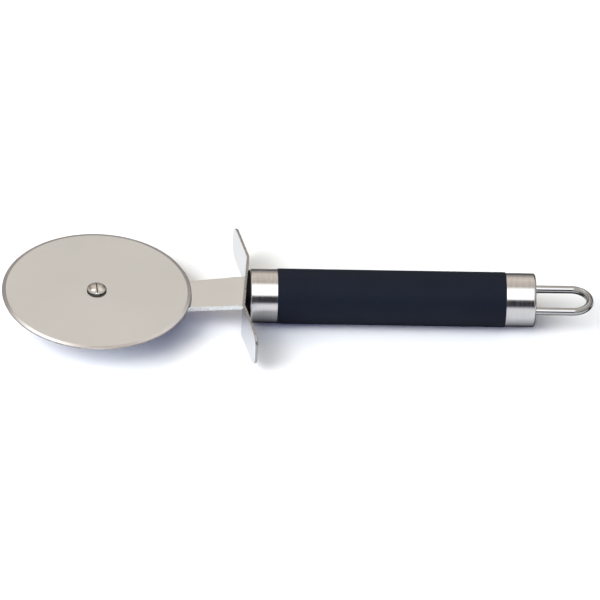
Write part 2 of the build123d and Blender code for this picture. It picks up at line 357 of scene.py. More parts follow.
# Shader nodes

def add_node(tree, kind, inputs=(), links=(), **settings):
    """A new node with its settings, its constant inputs and its (node, output) inputs."""
    made = tree.nodes.new(kind)
    for name, value in settings.items():
        setattr(made, name, value)
    for socket, value in dict(inputs).items():
        made.inputs[socket].default_value = value
    for socket, (source, output) in dict(links).items():
        join(tree, source, output, made, socket)
    return made


def number_step(tree, operation, links, inputs=()):
    """A maths node on numbers, with its (node, output) inputs and its constant ones."""
    return add_node(tree, "ShaderNodeMath", inputs, links, operation=operation)


def vector_step(tree, operation, links, inputs=()):
    """A vector maths node, with its (node, output) inputs and its constant ones."""
    return add_node(tree, "ShaderNodeVectorMath", inputs, links, operation=operation)


def join(tree, source, output, target, socket):
    """Links one node's output to another's input."""
    tree.links.new(source.outputs[output], target.inputs[socket])


def start_material(name, metal, roughness, specular=0.5):
    """A material with only its shader. Returns it with its tree and shader node."""
    material = bpy.data.materials.new(name)
    material.use_nodes = True
    tree = material.node_tree
    shader = tree.nodes["Principled BSDF"]
    shader.inputs["Metallic"].default_value = metal
    shader.inputs["Roughness"].default_value = roughness
    shader.inputs["Specular IOR Level"].default_value = specular
    return material, tree, shader


def object_place(tree, scale=(1.0, 1.0, 1.0), centre=(0.0, 0.0, 0.0)):
    """Object coordinates about a centre, stretched by a scale along each axis."""
    place = add_node(tree, "ShaderNodeTexCoord")
    shift = [-c * s for c, s in zip(centre, scale)]
    numbers = {"Location": shift, "Scale": scale}
    return add_node(tree, "ShaderNodeMapping", numbers, {"Vector": (place, "Object")})


def noise(tree, place=None, scale=1.0, detail=3.0, roughness=0.5):
    """A noise texture on the given place node, or on plain object coordinates."""
    place = place or object_place(tree)
    numbers = {"Scale": scale, "Detail": detail, "Roughness": roughness}
    return add_node(tree, "ShaderNodeTexNoise", numbers, {"Vector": (place, "Vector")})


def spread(tree, source, output, low, high, from_low=NOISE_RANGE[0], from_high=NOISE_RANGE[1]):
    """Maps a range of what comes in, a noise's middle range by default, to another range."""
    ends = {"From Min": from_low, "From Max": from_high, "To Min": low, "To Max": high}
    return add_node(tree, "ShaderNodeMapRange", ends, {"Value": (source, output)})


def shade(value, share):
    """A colour made darker or lighter by a share."""
    return tuple(min(1.0, c * share) for c in value)


def ramp_node(tree, source, output, stops):
    """A colour that follows (position, colour) pairs from low to high."""
    made = add_node(tree, "ShaderNodeValToRGB", links={"Fac": (source, output)})
    marks = made.color_ramp.elements
    for mark, (position, tone) in zip(marks, (stops[0], stops[-1])):
        mark.position = position
        mark.color = (*tone, 1.0)
    for position, tone in stops[1:-1]:
        mark = marks.new(position)
        mark.color = (*tone, 1.0)
    return made


def tint(tree, texture, value, darkest, lightest):
    """A colour between two shares of itself, by a noise."""
    tones = (shade(value, darkest), shade(value, lightest))
    return ramp_node(tree, texture, "Fac", list(zip(NOISE_RANGE, tones)))


def graded(tree, source, output, stops, tone=(1.0, 1.0, 1.0)):
    """A brightness that follows (value, level) pairs, in one tone."""
    start, end = stops[0][0], stops[-1][0]
    along = spread(tree, source, output, 0.0, 1.0, start, end)
    marks = [((value - start) / (end - start), shade(tone, level)) for value, level in stops]
    return ramp_node(tree, along, "Result", marks)


def mixed(tree, share, one, other=None):
    """A mix of two colours, as (node, output) pairs; without a second, the first turns white."""
    made = add_node(tree, "ShaderNodeMix", data_type="RGBA")
    sockets = {socket.identifier: socket for socket in made.inputs}
    second = sockets["B_Color"]
    second.default_value = (1.0, 1.0, 1.0, 1.0)
    for (node, output), name in ((share, "Factor_Float"), (one, "A_Color")):
        tree.links.new(node.outputs[output], sockets[name])
    if other:
        tree.links.new(other[0].outputs[other[1]], second)
    return made


def vary(tree, shader, hue, texture, low, high):
    """Gives the shader its colour, and its roughness between two values by a noise."""
    join(tree, *hue, shader, "Base Color")
    join(tree, spread(tree, texture, "Fac", low, high), "Result", shader, "Roughness")


def bump(tree, shader, *textures, strength=0.4):
    """Bump from one or more noises, each with its depth in millimetres."""
    links = {}
    for texture, depth in textures:
        numbers = {"Strength": strength, "Distance": depth * MM}
        made = add_node(tree, "ShaderNodeBump", numbers, {"Height": (texture, "Fac"), **links})
        links = {"Normal": (made, "Normal")}
    join(tree, made, "Normal", shader, "Normal")


def around(tree, axis_name, centre, along_scale, turn_scale):
    """Coordinates that run round an axle: the turn as an even angle, and the place along it."""
    place = add_node(tree, "ShaderNodeTexCoord")
    shift = vector_step(tree, "SUBTRACT", {0: (place, "Object")}, {1: centre})
    parts = add_node(tree, "ShaderNodeSeparateXYZ", links={0: (shift, "Vector")})
    one, other = (name for name in "XYZ" if name != axis_name)
    turn = number_step(tree, "ARCTAN2", {0: (parts, one), 1: (parts, other)})
    turned = number_step(tree, "MULTIPLY", {0: (turn, "Value")}, {1: turn_scale})
    along = number_step(tree, "MULTIPLY", {0: (parts, axis_name)}, {1: along_scale})
    links = {"X": (turned, "Value"), "Y": (along, "Value")}
    return add_node(tree, "ShaderNodeCombineXYZ", links=links)


def satin_steel(name, value, uneven=0.0):
    """Rolled sheet with a soft satin finish and a fine straight grain."""
    material, tree, shader = start_material(name, metal=1.0, roughness=0.30)
    cloud = noise(tree, scale=70.0, detail=4.0)
    grain = noise(tree, object_place(tree, ROLLED_GRAIN), detail=2.0)
    speck = noise(tree, scale=2600.0, detail=2.0)
    slow = noise(tree, object_place(tree, centre=axle), scale=17.0, detail=1.0)
    hue = tint(tree, cloud, value, darkest=0.985, lightest=1.012)
    patch = spread(tree, slow, "Fac", 1.0 - uneven, 1.0 + uneven)
    shown = vector_step(tree, "SCALE", {0: (hue, "Color"), "Scale": (patch, "Result")})
    vary(tree, shader, (shown, "Vector"), grain, low=0.21, high=0.27)
    bump(tree, shader, (grain, 0.0012), (speck, 0.0006))
    return material


def ground_steel(name, value):
    """The wheel's ground rim, with short marks that run across it."""
    material, tree, shader = start_material(name, metal=1.0, roughness=0.34)
    place = around(tree, "Z", axle, along_scale=300.0, turn_scale=260.0)
    marks = noise(tree, place, roughness=0.6)
    cloud = noise(tree, scale=45.0)
    hue = tint(tree, cloud, value, darkest=0.88, lightest=1.14)
    vary(tree, shader, (hue, "Color"), marks, low=0.17, high=0.26)
    bump(tree, shader, (marks, 0.004))
    return material


def polished_steel(name, value, smooth, rough, ripple=0.006):
    """Bright steel with faint smears and a slight ripple."""
    material, tree, shader = start_material(name, metal=1.0, roughness=smooth)
    smear = noise(tree, scale=160.0, detail=5.0, roughness=0.6)
    waves = noise(tree, scale=320.0, detail=1.0)
    hue = tint(tree, smear, value, darkest=0.95, lightest=1.04)
    vary(tree, shader, (hue, "Color"), smear, smooth, rough)
    bump(tree, shader, (waves, ripple))
    return material


def sheared_steel(name, value):
    """The cut edge of sheet, with lines left by the shear."""
    material, tree, shader = start_material(name, metal=1.0, roughness=0.38)
    lines = noise(tree, object_place(tree, SHEAR_LINES), roughness=0.6)
    hue = tint(tree, lines, value, darkest=0.85, lightest=1.12)
    vary(tree, shader, (hue, "Color"), lines, low=0.24, high=0.36)
    bump(tree, shader, (lines, 0.002))
    return material


def turned_steel(name, value):
    """Steel brushed round and round, so that its marks run about the handle's axis."""
    material, tree, shader = start_material(name, metal=1.0, roughness=0.20)
    middle = (0, 0, axis_z)
    fine_place = around(tree, "X", middle, along_scale=5200.0, turn_scale=3.0)
    coarse_place = around(tree, "X", middle, along_scale=1500.0, turn_scale=1.6)
    fine = noise(tree, fine_place, detail=2.0)
    coarse = noise(tree, coarse_place)
    hue = tint(tree, coarse, value, darkest=0.94, lightest=1.05)
    vary(tree, shader, (hue, "Color"), coarse, low=0.12, high=0.19)
    bump(tree, shader, (fine, 0.0015), (coarse, 0.003))
    return material


def soft_rubber(name, value):
    """Matt moulded rubber with a fine grain and a little dust."""
    material, tree, shader = start_material(name, metal=0.0, roughness=0.56, specular=0.13)
    cloud = noise(tree, scale=55.0, detail=4.0)
    grain = noise(tree, scale=2400.0, detail=2.0)
    hue = tint(tree, cloud, value, darkest=0.90, lightest=1.12)
    vary(tree, shader, (hue, "Color"), grain, low=0.50, high=0.62)
    bump(tree, shader, (grain, 0.02), (cloud, 0.03), strength=0.35)
    return material


def moulded_plastic(name, value, specular=0.5):
    """Plain dark plastic, also used to paint shade in the screw's slot, under its head and in the
    gap behind the guard.
    """
    material, tree, shader = start_material(name, metal=0.0, roughness=0.45, specular=specular)
    grain = noise(tree, scale=900.0)
    hue = tint(tree, grain, value, darkest=0.88, lightest=1.12)
    join(tree, hue, "Color", shader, "Base Color")
    bump(tree, shader, (grain, 0.02))
    return material


def floor_paint(name, value):
    """The pale floor, a shade uneven. Steel mirrors it darker, with painted shade far behind the
    handle and a painted shadow under it.
    """
    material, tree, shader = start_material(name, metal=0.0, roughness=0.75, specular=0.0)
    hue = tint(tree, noise(tree, scale=3.0), value, darkest=0.99, lightest=1.0)
    place = add_node(tree, "ShaderNodeTexCoord")
    path = add_node(tree, "ShaderNodeLightPath")
    parts = add_node(tree, "ShaderNodeSeparateXYZ", links={0: (place, "Object")})
    # Painted shadow and shade, seen only in the steel: glossy rays find the floor darkened under
    # the handle and far behind it
    beside = number_step(tree, "ABSOLUTE", {0: (parts, "Y")})
    before = spread(tree, parts, "X", 1.0, 0.0, *GAP_START)
    under = graded(tree, beside, "Value", FLOOR_GAP_SHADOW)
    behind = graded(tree, parts, "Y", FLOOR_MIRRORED_SHADE)
    clear = number_step(tree, "MAXIMUM", {0: (before, "Result"), 1: (under, "Color")})
    mirrored = vector_step(tree, "MULTIPLY", {0: (hue, "Color"), 1: (behind, "Color")})
    left = vector_step(tree, "SCALE", {0: (mirrored, "Vector"), "Scale": (clear, "Value")})
    shown = mixed(tree, (path, "Is Glossy Ray"), (hue, "Color"), (left, "Vector"))
    join(tree, shown, "Result", shader, "Base Color")
    return material


# Mesh helpers

def upright(radius, height):
    """A point beside the wheel's axle."""
    return Vector((axle.x + radius, 0.0, height))


def only(geometry, kind):
    """The vertices or the edges of what an operator returned."""
    return [item for item in geometry if isinstance(item, kind)]


def chain(bm, verts):
    """Joins vertices in their order. Returns the edges."""
    return [bm.edges.new(pair) for pair in zip(verts, verts[1:])]


def bevel(bm, geometry, width, segments, affect="EDGES"):
    """Rounds or chamfers edges or corners."""
    bmesh.ops.bevel(
        bm,
        geom=geometry,
        offset=width,
        offset_type="OFFSET",
        segments=segments,
        profile=0.5,
        affect=affect,
        material=-1,
    )


def outline(bm, corners, closed=True, segments=6):
    """A wire through (point, rounding) pairs. Returns its edges."""
    before = set(bm.edges)
    verts = [bm.verts.new(point) for point, _ in corners]
    chain(bm, verts + (verts[:1] if closed else []))
    for vert, (_, rounding) in zip(verts, corners):
        if rounding:
            ways = [edge.other_vert(vert).co - vert.co for edge in vert.link_edges]
            turn = math.pi - ways[0].angle(ways[1])
            bevel(bm, [vert], rounding * math.tan(turn / 2), segments, "VERTICES")
    return [edge for edge in bm.edges if edge not in before]


def upright_plate(bm, x, reach, low, high, rounding=0, segments=6):
    """A rectangle of wire across the handle, from one height to another."""
    places = ((-reach, low), (reach, low), (reach, high), (-reach, high))
    outline(bm, [(Vector((x, y, z)), rounding) for y, z in places], segments=segments)


def turn_round(bm, edges, centre, axis, steps):
    """Spins a wire into a closed surface, its seam and poles merged."""
    verts = dict.fromkeys(vert for edge in edges for vert in edge.verts)
    bmesh.ops.spin(
        bm,
        geom=[*edges, *verts],
        cent=centre,
        axis=axis,
        angle=math.tau,
        steps=steps,
        use_merge=True,
    )
    bmesh.ops.remove_doubles(bm, verts=bm.verts, dist=MICRON)


def about_axle(corners, steps, segments=4):
    """A ring about the wheel's axle from (radius, height, rounding) corners."""
    bm = bmesh.new()
    points = [(upright(radius, height), rounding) for radius, height, rounding in corners]
    turn_round(bm, outline(bm, points, segments=segments), axle, (0, 0, 1), steps)
    return bm


def about_handle(corners, steps, segments, closed=True):
    """A piece about the handle's axis from (radius, place, rounding) corners."""
    bm = bmesh.new()
    points = [(Vector((x, 0.0, axis_z + radius)), rounding) for radius, x, rounding in corners]
    wires = outline(bm, points, closed, segments)
    turn_round(bm, wires, (0, 0, axis_z), (1, 0, 0), steps)
    return bm


def arc(bm, start, centre, turn, steps, axis=(0, 1, 0)):
    """An arc of wire from a point. Returns its edges, its first vertex and its last."""
    before = set(bm.edges)
    first = bm.verts.new(start)
    made = bmesh.ops.spin(bm, geom=[first], cent=centre, axis=axis, angle=turn, steps=steps)
    last = only(made["geom_last"], BMVert)[0]
    return [edge for edge in bm.edges if edge not in before], first, last


def ramp(distance, ease):
    """Nothing before zero and the distance after it, with the corner eased."""
    if distance <= -ease:
        return 0.0
    if distance >= ease:
        return distance
    return (distance + ease) ** 2 / (4 * ease)


def doubled(bm):
    """Extrudes a mesh's flat faces on the spot. Returns the vertices that are still to move."""
    made = bmesh.ops.extrude_face_region(bm, geom=bm.faces[:], use_keep_orig=True)["geom"]
    return only(made, BMVert)


def thicken(bm, depth, edge_break):
    """Makes a plate of flat wires: its faces take the first finish, its edges the second."""
    toward = depth.normalized()
    bmesh.ops.remove_doubles(bm, verts=bm.verts, dist=MICRON)
    bmesh.ops.triangle_fill(bm, use_beauty=True, edges=bm.edges, normal=toward)
    bmesh.ops.translate(bm, vec=depth, verts=doubled(bm))
    bmesh.ops.recalc_face_normals(bm, faces=bm.faces)
    rims = []
    for edge in bm.edges:
        flats = [abs(face.normal.dot(toward)) > RIM_LOOK for face in edge.link_faces]
        if len(flats) == 2 and flats[0] != flats[1]:
            rims.append(edge)
    bevel(bm, rims, edge_break, segments=2)
    bmesh.ops.recalc_face_normals(bm, faces=bm.faces)
    for face in bm.faces:
        face.material_index = int(abs(face.normal.dot(toward)) <= FLAT_LOOK)


def cut_bend(bm, middle, ease, way):
    """Cuts a plate across where it will bend, so that the bend comes out even."""
    for step in range(-BEND_CUTS, BEND_CUTS + 1):
        everything = bm.verts[:] + bm.edges[:] + bm.faces[:]
        point = way * (middle + ease * step / BEND_CUTS)
        bmesh.ops.bisect_plane(bm, geom=everything, plane_co=point, plane_no=way, dist=MICRON)


def cylinder(radius, depth, place, facets):
    """A closed cylinder or prism about the middle of a place."""
    bm = bmesh.new()
    bmesh.ops.create_cone(
        bm,
        cap_ends=True,
        segments=facets,
        radius1=radius,
        radius2=radius,
        depth=depth,
        matrix=place,
    )
    return bm


def disc(radius, place=Matrix.Identity(4)):
    """A flat round face about the middle of a place."""
    bm = bmesh.new()
    bmesh.ops.create_circle(
        bm, cap_ends=True, segments=FINE_FACETS, radius=radius, matrix=place
    )
    return bm


def block(centre, size, turn=0.0):
    """A closed box, used only to cut."""
    bm = bmesh.new()
    turned = Matrix.Rotation(turn, 4, "Z") @ Matrix.Diagonal((*size, 1.0))
    bmesh.ops.create_cube(bm, size=1.0, matrix=Matrix.Translation(centre) @ turned)
    return bm


def add_object(name, data):
    """A new object in the scene."""
    made = bpy.data.objects.new(name, data)
    bpy.context.scene.collection.objects.link(made)
    return made


def mesh_object(bm, name):
    """A new object with a finished bmesh as its mesh."""
    mesh = bpy.data.meshes.new(name)
    bm.to_mesh(mesh)
    bm.free()
    return add_object(name, mesh)


def sharpen(piece, degrees=SHARP):
    """Marks the edges that turn by more than an angle as sharp."""
    piece.data.set_sharp_from_angle(angle=math.radians(degrees))


def place_piece(bm, name, nodes, materials, body=HANDLE, sharp=SHARP):
    """Turns a finished bmesh into a piece that rides on a body and stands for its nodes."""
    bmesh.ops.remove_doubles(bm, verts=bm.verts, dist=MICRON)
    bmesh.ops.recalc_face_normals(bm, faces=bm.faces)
    piece = mesh_object(bm, name)
    for material in materials:
        piece.data.materials.append(material)
    piece.data.shade_smooth()
    sharpen(piece, sharp)
    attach(piece, body)
    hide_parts(*nodes)
    return piece


def even_flats(piece):
    """Evens the shading of a piece's flats."""
    even = piece.modifiers.new("even flats", "WEIGHTED_NORMAL")
    even.keep_sharp = True


def soften(piece, width):
    """Breaks a piece's sharp edges and evens the shading of its flats."""
    edges = piece.modifiers.new("edge break", "BEVEL")
    edges.width = width
    edges.segments = 2
    edges.limit_method = "ANGLE"
    edges.angle_limit = BREAK_ANGLE
    edges.use_clamp_overlap = True
    even_flats(piece)


def cut_with(piece, tool, operation="DIFFERENCE"):
    """Cuts a piece by a closed bmesh, joins it on, or keeps only what lies in it."""
    bmesh.ops.recalc_face_normals(tool, faces=tool.faces)
    cutter = mesh_object(tool, "cutter")
    step = piece.modifiers.new("cut", "BOOLEAN")
    step.operation = operation
    step.solver = "EXACT"
    step.object = cutter
    bpy.context.view_layer.update()
    graph = bpy.context.evaluated_depsgraph_get()
    cut = bpy.data.meshes.new_from_object(piece.evaluated_get(graph))
    piece.modifiers.remove(step)
    old_meshes = (cutter.data, piece.data)
    cut.name = piece.data.name + "_cut"
    piece.data = cut
    bpy.data.objects.remove(cutter)
    for mesh in old_meshes:
        bpy.data.meshes.remove(mesh)


class CutterOperator:
    """What every operator of this add-on shares."""

    bl_options = {"REGISTER", "UNDO"}

    def groups(self, context, *names):
        """The groups of sizes or colours with those names."""
        return [getattr(context.scene, "cutter_" + name) for name in names]


class CUTTER_OT_wheel(CutterOperator, bpy.types.Operator):
    """Models the cutting wheel with its ground rim"""

    bl_idname = "cutter.wheel"
    bl_label = "Cutting wheel"

    def execute(self, context):
        sizes, finishes = self.groups(context, "wheel", "finishes")
        radius = half(wheel_low, wheel_high)
        bore = bush_radius + sizes.running_gap
        flat = radius - sizes.bevel_width
        middle = (wheel_low.z + wheel_high.z) / 2
        edge = sizes.edge_thickness / 2
        hone = radius - sizes.hone_width
        drop = (hone - flat) * math.tan(sizes.grind)
        corners = [
            (bore, wheel_low.z, 0),
            (flat, wheel_low.z, 0),
            (hone, wheel_low.z + drop, 0),
            (radius, middle - edge, 0),
            (radius, middle + edge, 0),
            (hone, wheel_high.z - drop, 0),
            (flat, wheel_high.z, 0),
            (bore, wheel_high.z, 0),
        ]
        bm = about_axle(corners, sizes.steps)
        for face in bm.faces:
            out = (face.calc_center_median() - axle).to_2d().length
            face.material_index = (out > flat) + (out > hone)
        materials = [
            satin_steel("blade satin", finishes.blade, uneven=0.022),
            ground_steel("blade ground rim", finishes.ground_edge),
            # Painted shade: the honed edge is a darker copy of the ground rim's finish
            ground_steel("blade honed edge", shade(finishes.ground_edge, HONED_PAINTED_SHADE)),
        ]
        place_piece(bm, "blade", ["cutting_wheel"], materials, WHEEL, BLADE_SHARP)
        return {"FINISHED"}


class CUTTER_OT_axle(CutterOperator, bpy.types.Operator):
    """Models the slotted screw, its washers and the domed nut under the arm"""

    bl_idname = "cutter.axle"
    bl_label = "Axle hardware"

    def washer(self, sizes, name, node, inner, material):
        """A flat ring with softly broken edges."""
        low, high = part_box(node)
        outer = half(low, high)
        places = ((inner, low.z), (outer, low.z), (outer, high.z), (inner, high.z))
        corners = [(*place, sizes.washer_break) for place in places]
        bm = about_axle(corners, RING_FACETS, segments=2)
        return place_piece(bm, name, [node], [material])

    def screw(self, sizes, materials):
        """Button head with its driving slot, and the shank below it."""
        shoulder = sizes.head_shoulder
        rise = screw_high.z - head_under
        core = head_radius - shoulder
        slope = 2 * math.atan2(rise - shoulder, core)
        ball = (core + shoulder * math.sin(slope)) / math.sin(slope)
        rim_top = screw_high.z - ball + ball * math.cos(slope) - shoulder * math.cos(slope)
        bm = bmesh.new()
        rim_start, rim_centre = upright(head_radius, rim_top), upright(core, rim_top)
        wires, rim, shoulder_top = arc(bm, rim_start, rim_centre, slope - QUARTER, CROWN_STEPS)
        ball_centre = upright(0, screw_high.z - ball)
        crown, _, crown_top = arc(bm, shoulder_top.co.copy(), ball_centre, -slope, CROWN_STEPS)
        crown_top.co = upright(0, screw_high.z)
        shank = (
            (head_radius, head_under),
            (sizes.shank_radius, head_under),
            (sizes.shank_radius, screw_low.z),
            (0, screw_low.z),
        )
        wires += crown + chain(bm, [rim] + [bm.verts.new(upright(*place)) for place in shank])
        turn_round(bm, wires, axle, (0, 0, 1), FINE_FACETS)
        # Painted shade: the faces just under the head's rim take the near-black finish, for the
        # shadow in the gap below it
        for face in bm.faces:
            height = face.calc_center_median().z
            if head_under - MICRON < height < head_under + sizes.painted_shade_height:
                face.material_index = 2
        piece = place_piece(bm, "slotted_screw", ["axle_screw"], materials)
        reach = 3 * head_radius
        floor_z = screw_high.z - sizes.slot_depth
        slot_centre = upright(0, floor_z + reach / 2)
        cut_with(piece, block(slot_centre, (sizes.slot_width, reach, reach), sizes.slot_turn))
        # Painted shade: the slot's walls and floor take a dark finish, for the shade in that narrow
        # recess
        for face in piece.data.polygons:
            middle = face.center - axle
            middle.rotate(Euler((0, 0, -sizes.slot_turn)))
            beside = abs(middle.x) < SLOT_SHARE * sizes.slot_width
            if beside and floor_z - MICRON < face.center.z < screw_high.z - MICRON:
                face.material_index = 1
        sharpen(piece)
        soften(piece, HEAD_BREAK)

    def nut(self, sizes, material):
        """Hexagon with broken corners and a dome below it."""
        across = (nut_high.x - nut_low.x) / 2
        corner = max(half(nut_low, nut_high), across)
        flat = corner * math.cos(HEX_HALF)
        hex_under = nut_high.z - sizes.hex_height
        rise = hex_under - nut_low.z
        dome_radius = flat - sizes.corner_break
        ball = (dome_radius**2 + rise**2) / (2 * rise)
        start_turn = 0.0 if across >= half(nut_low, nut_high) else HEX_HALF
        middle = Matrix.Translation(upright(0, (hex_under + nut_high.z) / 2))
        turned = middle @ Matrix.Rotation(start_turn - QUARTER, 4, "Z")
        hexagon = cylinder(corner, sizes.hex_height, turned, facets=6)
        piece = place_piece(hexagon, "domed_nut", ["axle_nut"], [material])
        broken = (
            (0, nut_high.z, 0),
            (corner - sizes.corner_break, nut_high.z, 0),
            (corner, nut_high.z - sizes.corner_break, 0),
            (corner, hex_under + sizes.corner_break / 2, 0),
            (corner - sizes.corner_break, hex_under, 0),
            (0, hex_under, 0),
        )
        cut_with(piece, about_axle(broken, FINE_FACETS), "INTERSECT")
        dome = bmesh.new()
        start, centre = upright(dome_radius, hex_under), upright(0, nut_low.z + ball)
        dome_turn = math.asin(dome_radius / ball)
        wires, rim, low_point = arc(dome, start, centre, dome_turn, DOME_STEPS)
        low_point.co = upright(0, nut_low.z)
        lid = [upright(radius, hex_under + sizes.corner_break) for radius in (dome_radius, 0)]
        wires += chain(dome, [rim] + [dome.verts.new(point) for point in lid])
        turn_round(dome, wires, axle, (0, 0, 1), RING_FACETS)
        cut_with(piece, dome, "UNION")
        bore_radius = sizes.shank_radius + BORE_GAP
        bore = (
            (0, nut_high.z - sizes.bore_depth, 0),
            (bore_radius, nut_high.z - sizes.bore_depth, 0),
            (bore_radius, nut_high.z + sizes.bore_depth, 0),
            (0, nut_high.z + sizes.bore_depth, 0),
        )
        cut_with(piece, about_axle(bore, RING_FACETS))
        sharpen(piece)
        soften(piece, NUT_BREAK)

    def execute(self, context):
        sizes, finishes = self.groups(context, "axle", "finishes")
        bright = polished_steel("fixings polished", finishes.fixings, smooth=0.10, rough=0.20)
        # Two dark finishes paint shade: one in the screw's slot and one under its head
        slot_shade = moulded_plastic("slot grime", finishes.slot_painted_shade, specular=0.1)
        head_shade = moulded_plastic("head grime", finishes.painted_shade, specular=0.05)
        self.screw(sizes, [bright, slot_shade, head_shade])
        self.nut(sizes, bright)
        self.washer(sizes, "washer_under_head", "head_washer", sizes.hole_radius, bright)
        self.washer(sizes, "washer_on_arm", "spacer_washer", bush_radius + BORE_GAP, bright)
        split = self.washer(
            sizes, "split_lock_washer", "lock_washer", sizes.hole_radius, bright
        )
        low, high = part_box("lock_washer")
        reach = half(low, high)
        beside = upright(-reach, (low.z + high.z) / 2)
        cut_with(split, block(beside, (2 * reach, sizes.lock_gap, 2 * reach)))
        return {"FINISHED"}


class CUTTER_OT_arm(CutterOperator, bpy.types.Operator):
    """Models the cranked arm with its tang"""

    bl_idname = "cutter.arm"
    bl_label = "Arm"

    def execute(self, context):
        sizes, axle_sizes, finishes = self.groups(context, "arm", "axle", "finishes")
        nose = sizes.nose_width / 2
        tang = sizes.tang_width / 2
        low = arm_low.z
        taper = math.atan2(arm_half - nose, guard_x - axle.x)
        touch = Vector((axle.x - nose * math.sin(taper), nose * math.cos(taper), low))
        bm = bmesh.new()
        nose_turn = math.pi - 2 * taper
        _, first, last = arc(bm, touch, axle, nose_turn, NOSE_STEPS, axis=(0, 0, 1))
        side = [
            (guard_x, arm_half, 0),
            (ferrule_low.x, arm_half, 0),
            (ferrule_low.x, tang, 0),
            (arm_high.x, tang, sizes.tang_corner),
        ]
        corners = [(Vector((x, -y, low)), rounding) for x, y, rounding in side]
        corners += [(Vector((x, y, low)), rounding) for x, y, rounding in reversed(side)]
        outline(bm, [(last.co.copy(), 0)] + corners + [(first.co.copy(), 0)], closed=False)
        pin_hole = half(pin_low, pin_high) + sizes.pin_clearance
        for x, radius, facets in (
            (axle.x, axle_sizes.hole_radius, AXLE_HOLE_FACETS),
            (pin_x, pin_hole, SMALL_HOLE_FACETS),
        ):
            middle = Matrix.Translation((x, 0, low))
            bmesh.ops.create_circle(bm, segments=facets, radius=radius, matrix=middle)
        thicken(bm, Vector((0, 0, sizes.thickness)), sizes.edge_break)
        start = wheel_high.x - sizes.crank_lead
        end = guard_x - sizes.crank_setback
        ease = sizes.crank_ease
        for bend in (start, end):
            cut_bend(bm, bend, ease, Vector((1, 0, 0)))
        slope = (arm_high.z - arm_low.z - sizes.thickness) / (end - start)
        for vert in bm.verts:
            x = vert.co.x
            vert.co.z += slope * (ramp(x - start, ease) - ramp(x - end, ease))
        materials = [
            satin_steel("arm satin", finishes.arm),
            # Painted highlight: the arm's cut edge is a lighter copy of the arm's colour, laid on
            # its sheared finish
            sheared_steel("arm cut edge", shade(finishes.arm, ARM_EDGE_PAINTED_HIGHLIGHT)),
        ]
        even_flats(place_piece(bm, "cranked_arm", ["arm"], materials))
        return {"FINISHED"}


class CUTTER_OT_guard(CutterOperator, bpy.types.Operator):
    """Models the thumb guard, a strip with a canted middle and two swept wings"""

    bl_idname = "cutter.guard"
    bl_label = "Thumb guard"

    def execute(self, context):
        sizes, arm_sizes, finishes = self.groups(context, "guard", "arm", "finishes")
        fold = sizes.fold_span / 2
        ease = sizes.fold_ease
        face_x = guard_x - sizes.thickness / 2
        reach = half(guard_low, guard_high)
        slot_low = arm_high.z - arm_sizes.thickness - sizes.slot_gap
        slot_high = arm_high.z + sizes.slot_gap
        bm = bmesh.new()
        upright_plate(bm, face_x, reach, guard_low.z, guard_high.z, sizes.corner, segments=16)
        upright_plate(bm, face_x, arm_half + sizes.slot_gap, slot_low, slot_high)
        thicken(bm, Vector((sizes.thickness, 0, 0)), sizes.edge_break)
        for side in (-1, 1):
            cut_bend(bm, side * fold, side * ease, Vector((0, 1, 0)))
        cant, sweep = math.tan(sizes.cant), math.tan(sizes.sweep)
        for vert in bm.verts:
            y = vert.co.y
            past = ramp(abs(y) - fold, ease)
            share = min(1.0, max(0.0, (abs(y) - fold + ease) / (2 * ease)))
            slope = cant - (cant + sweep) * share
            lean = (cant * abs(y) - (cant + sweep) * past) * math.copysign(1.0, y)
            depth = (vert.co.x - guard_x) * math.hypot(1.0, slope)
            vert.co.x = guard_x + lean + depth
        materials = [
            polished_steel("guard mirror", finishes.guard, 0.05, 0.10, ripple=0.010),
            sheared_steel("guard cut edge", finishes.cut_edge),
        ]
        piece = place_piece(
            bm, "folded_guard", ["thumb_guard"], materials, sharp=GUARD_SHARP
        )
        even_flats(piece)
        return {"FINISHED"}


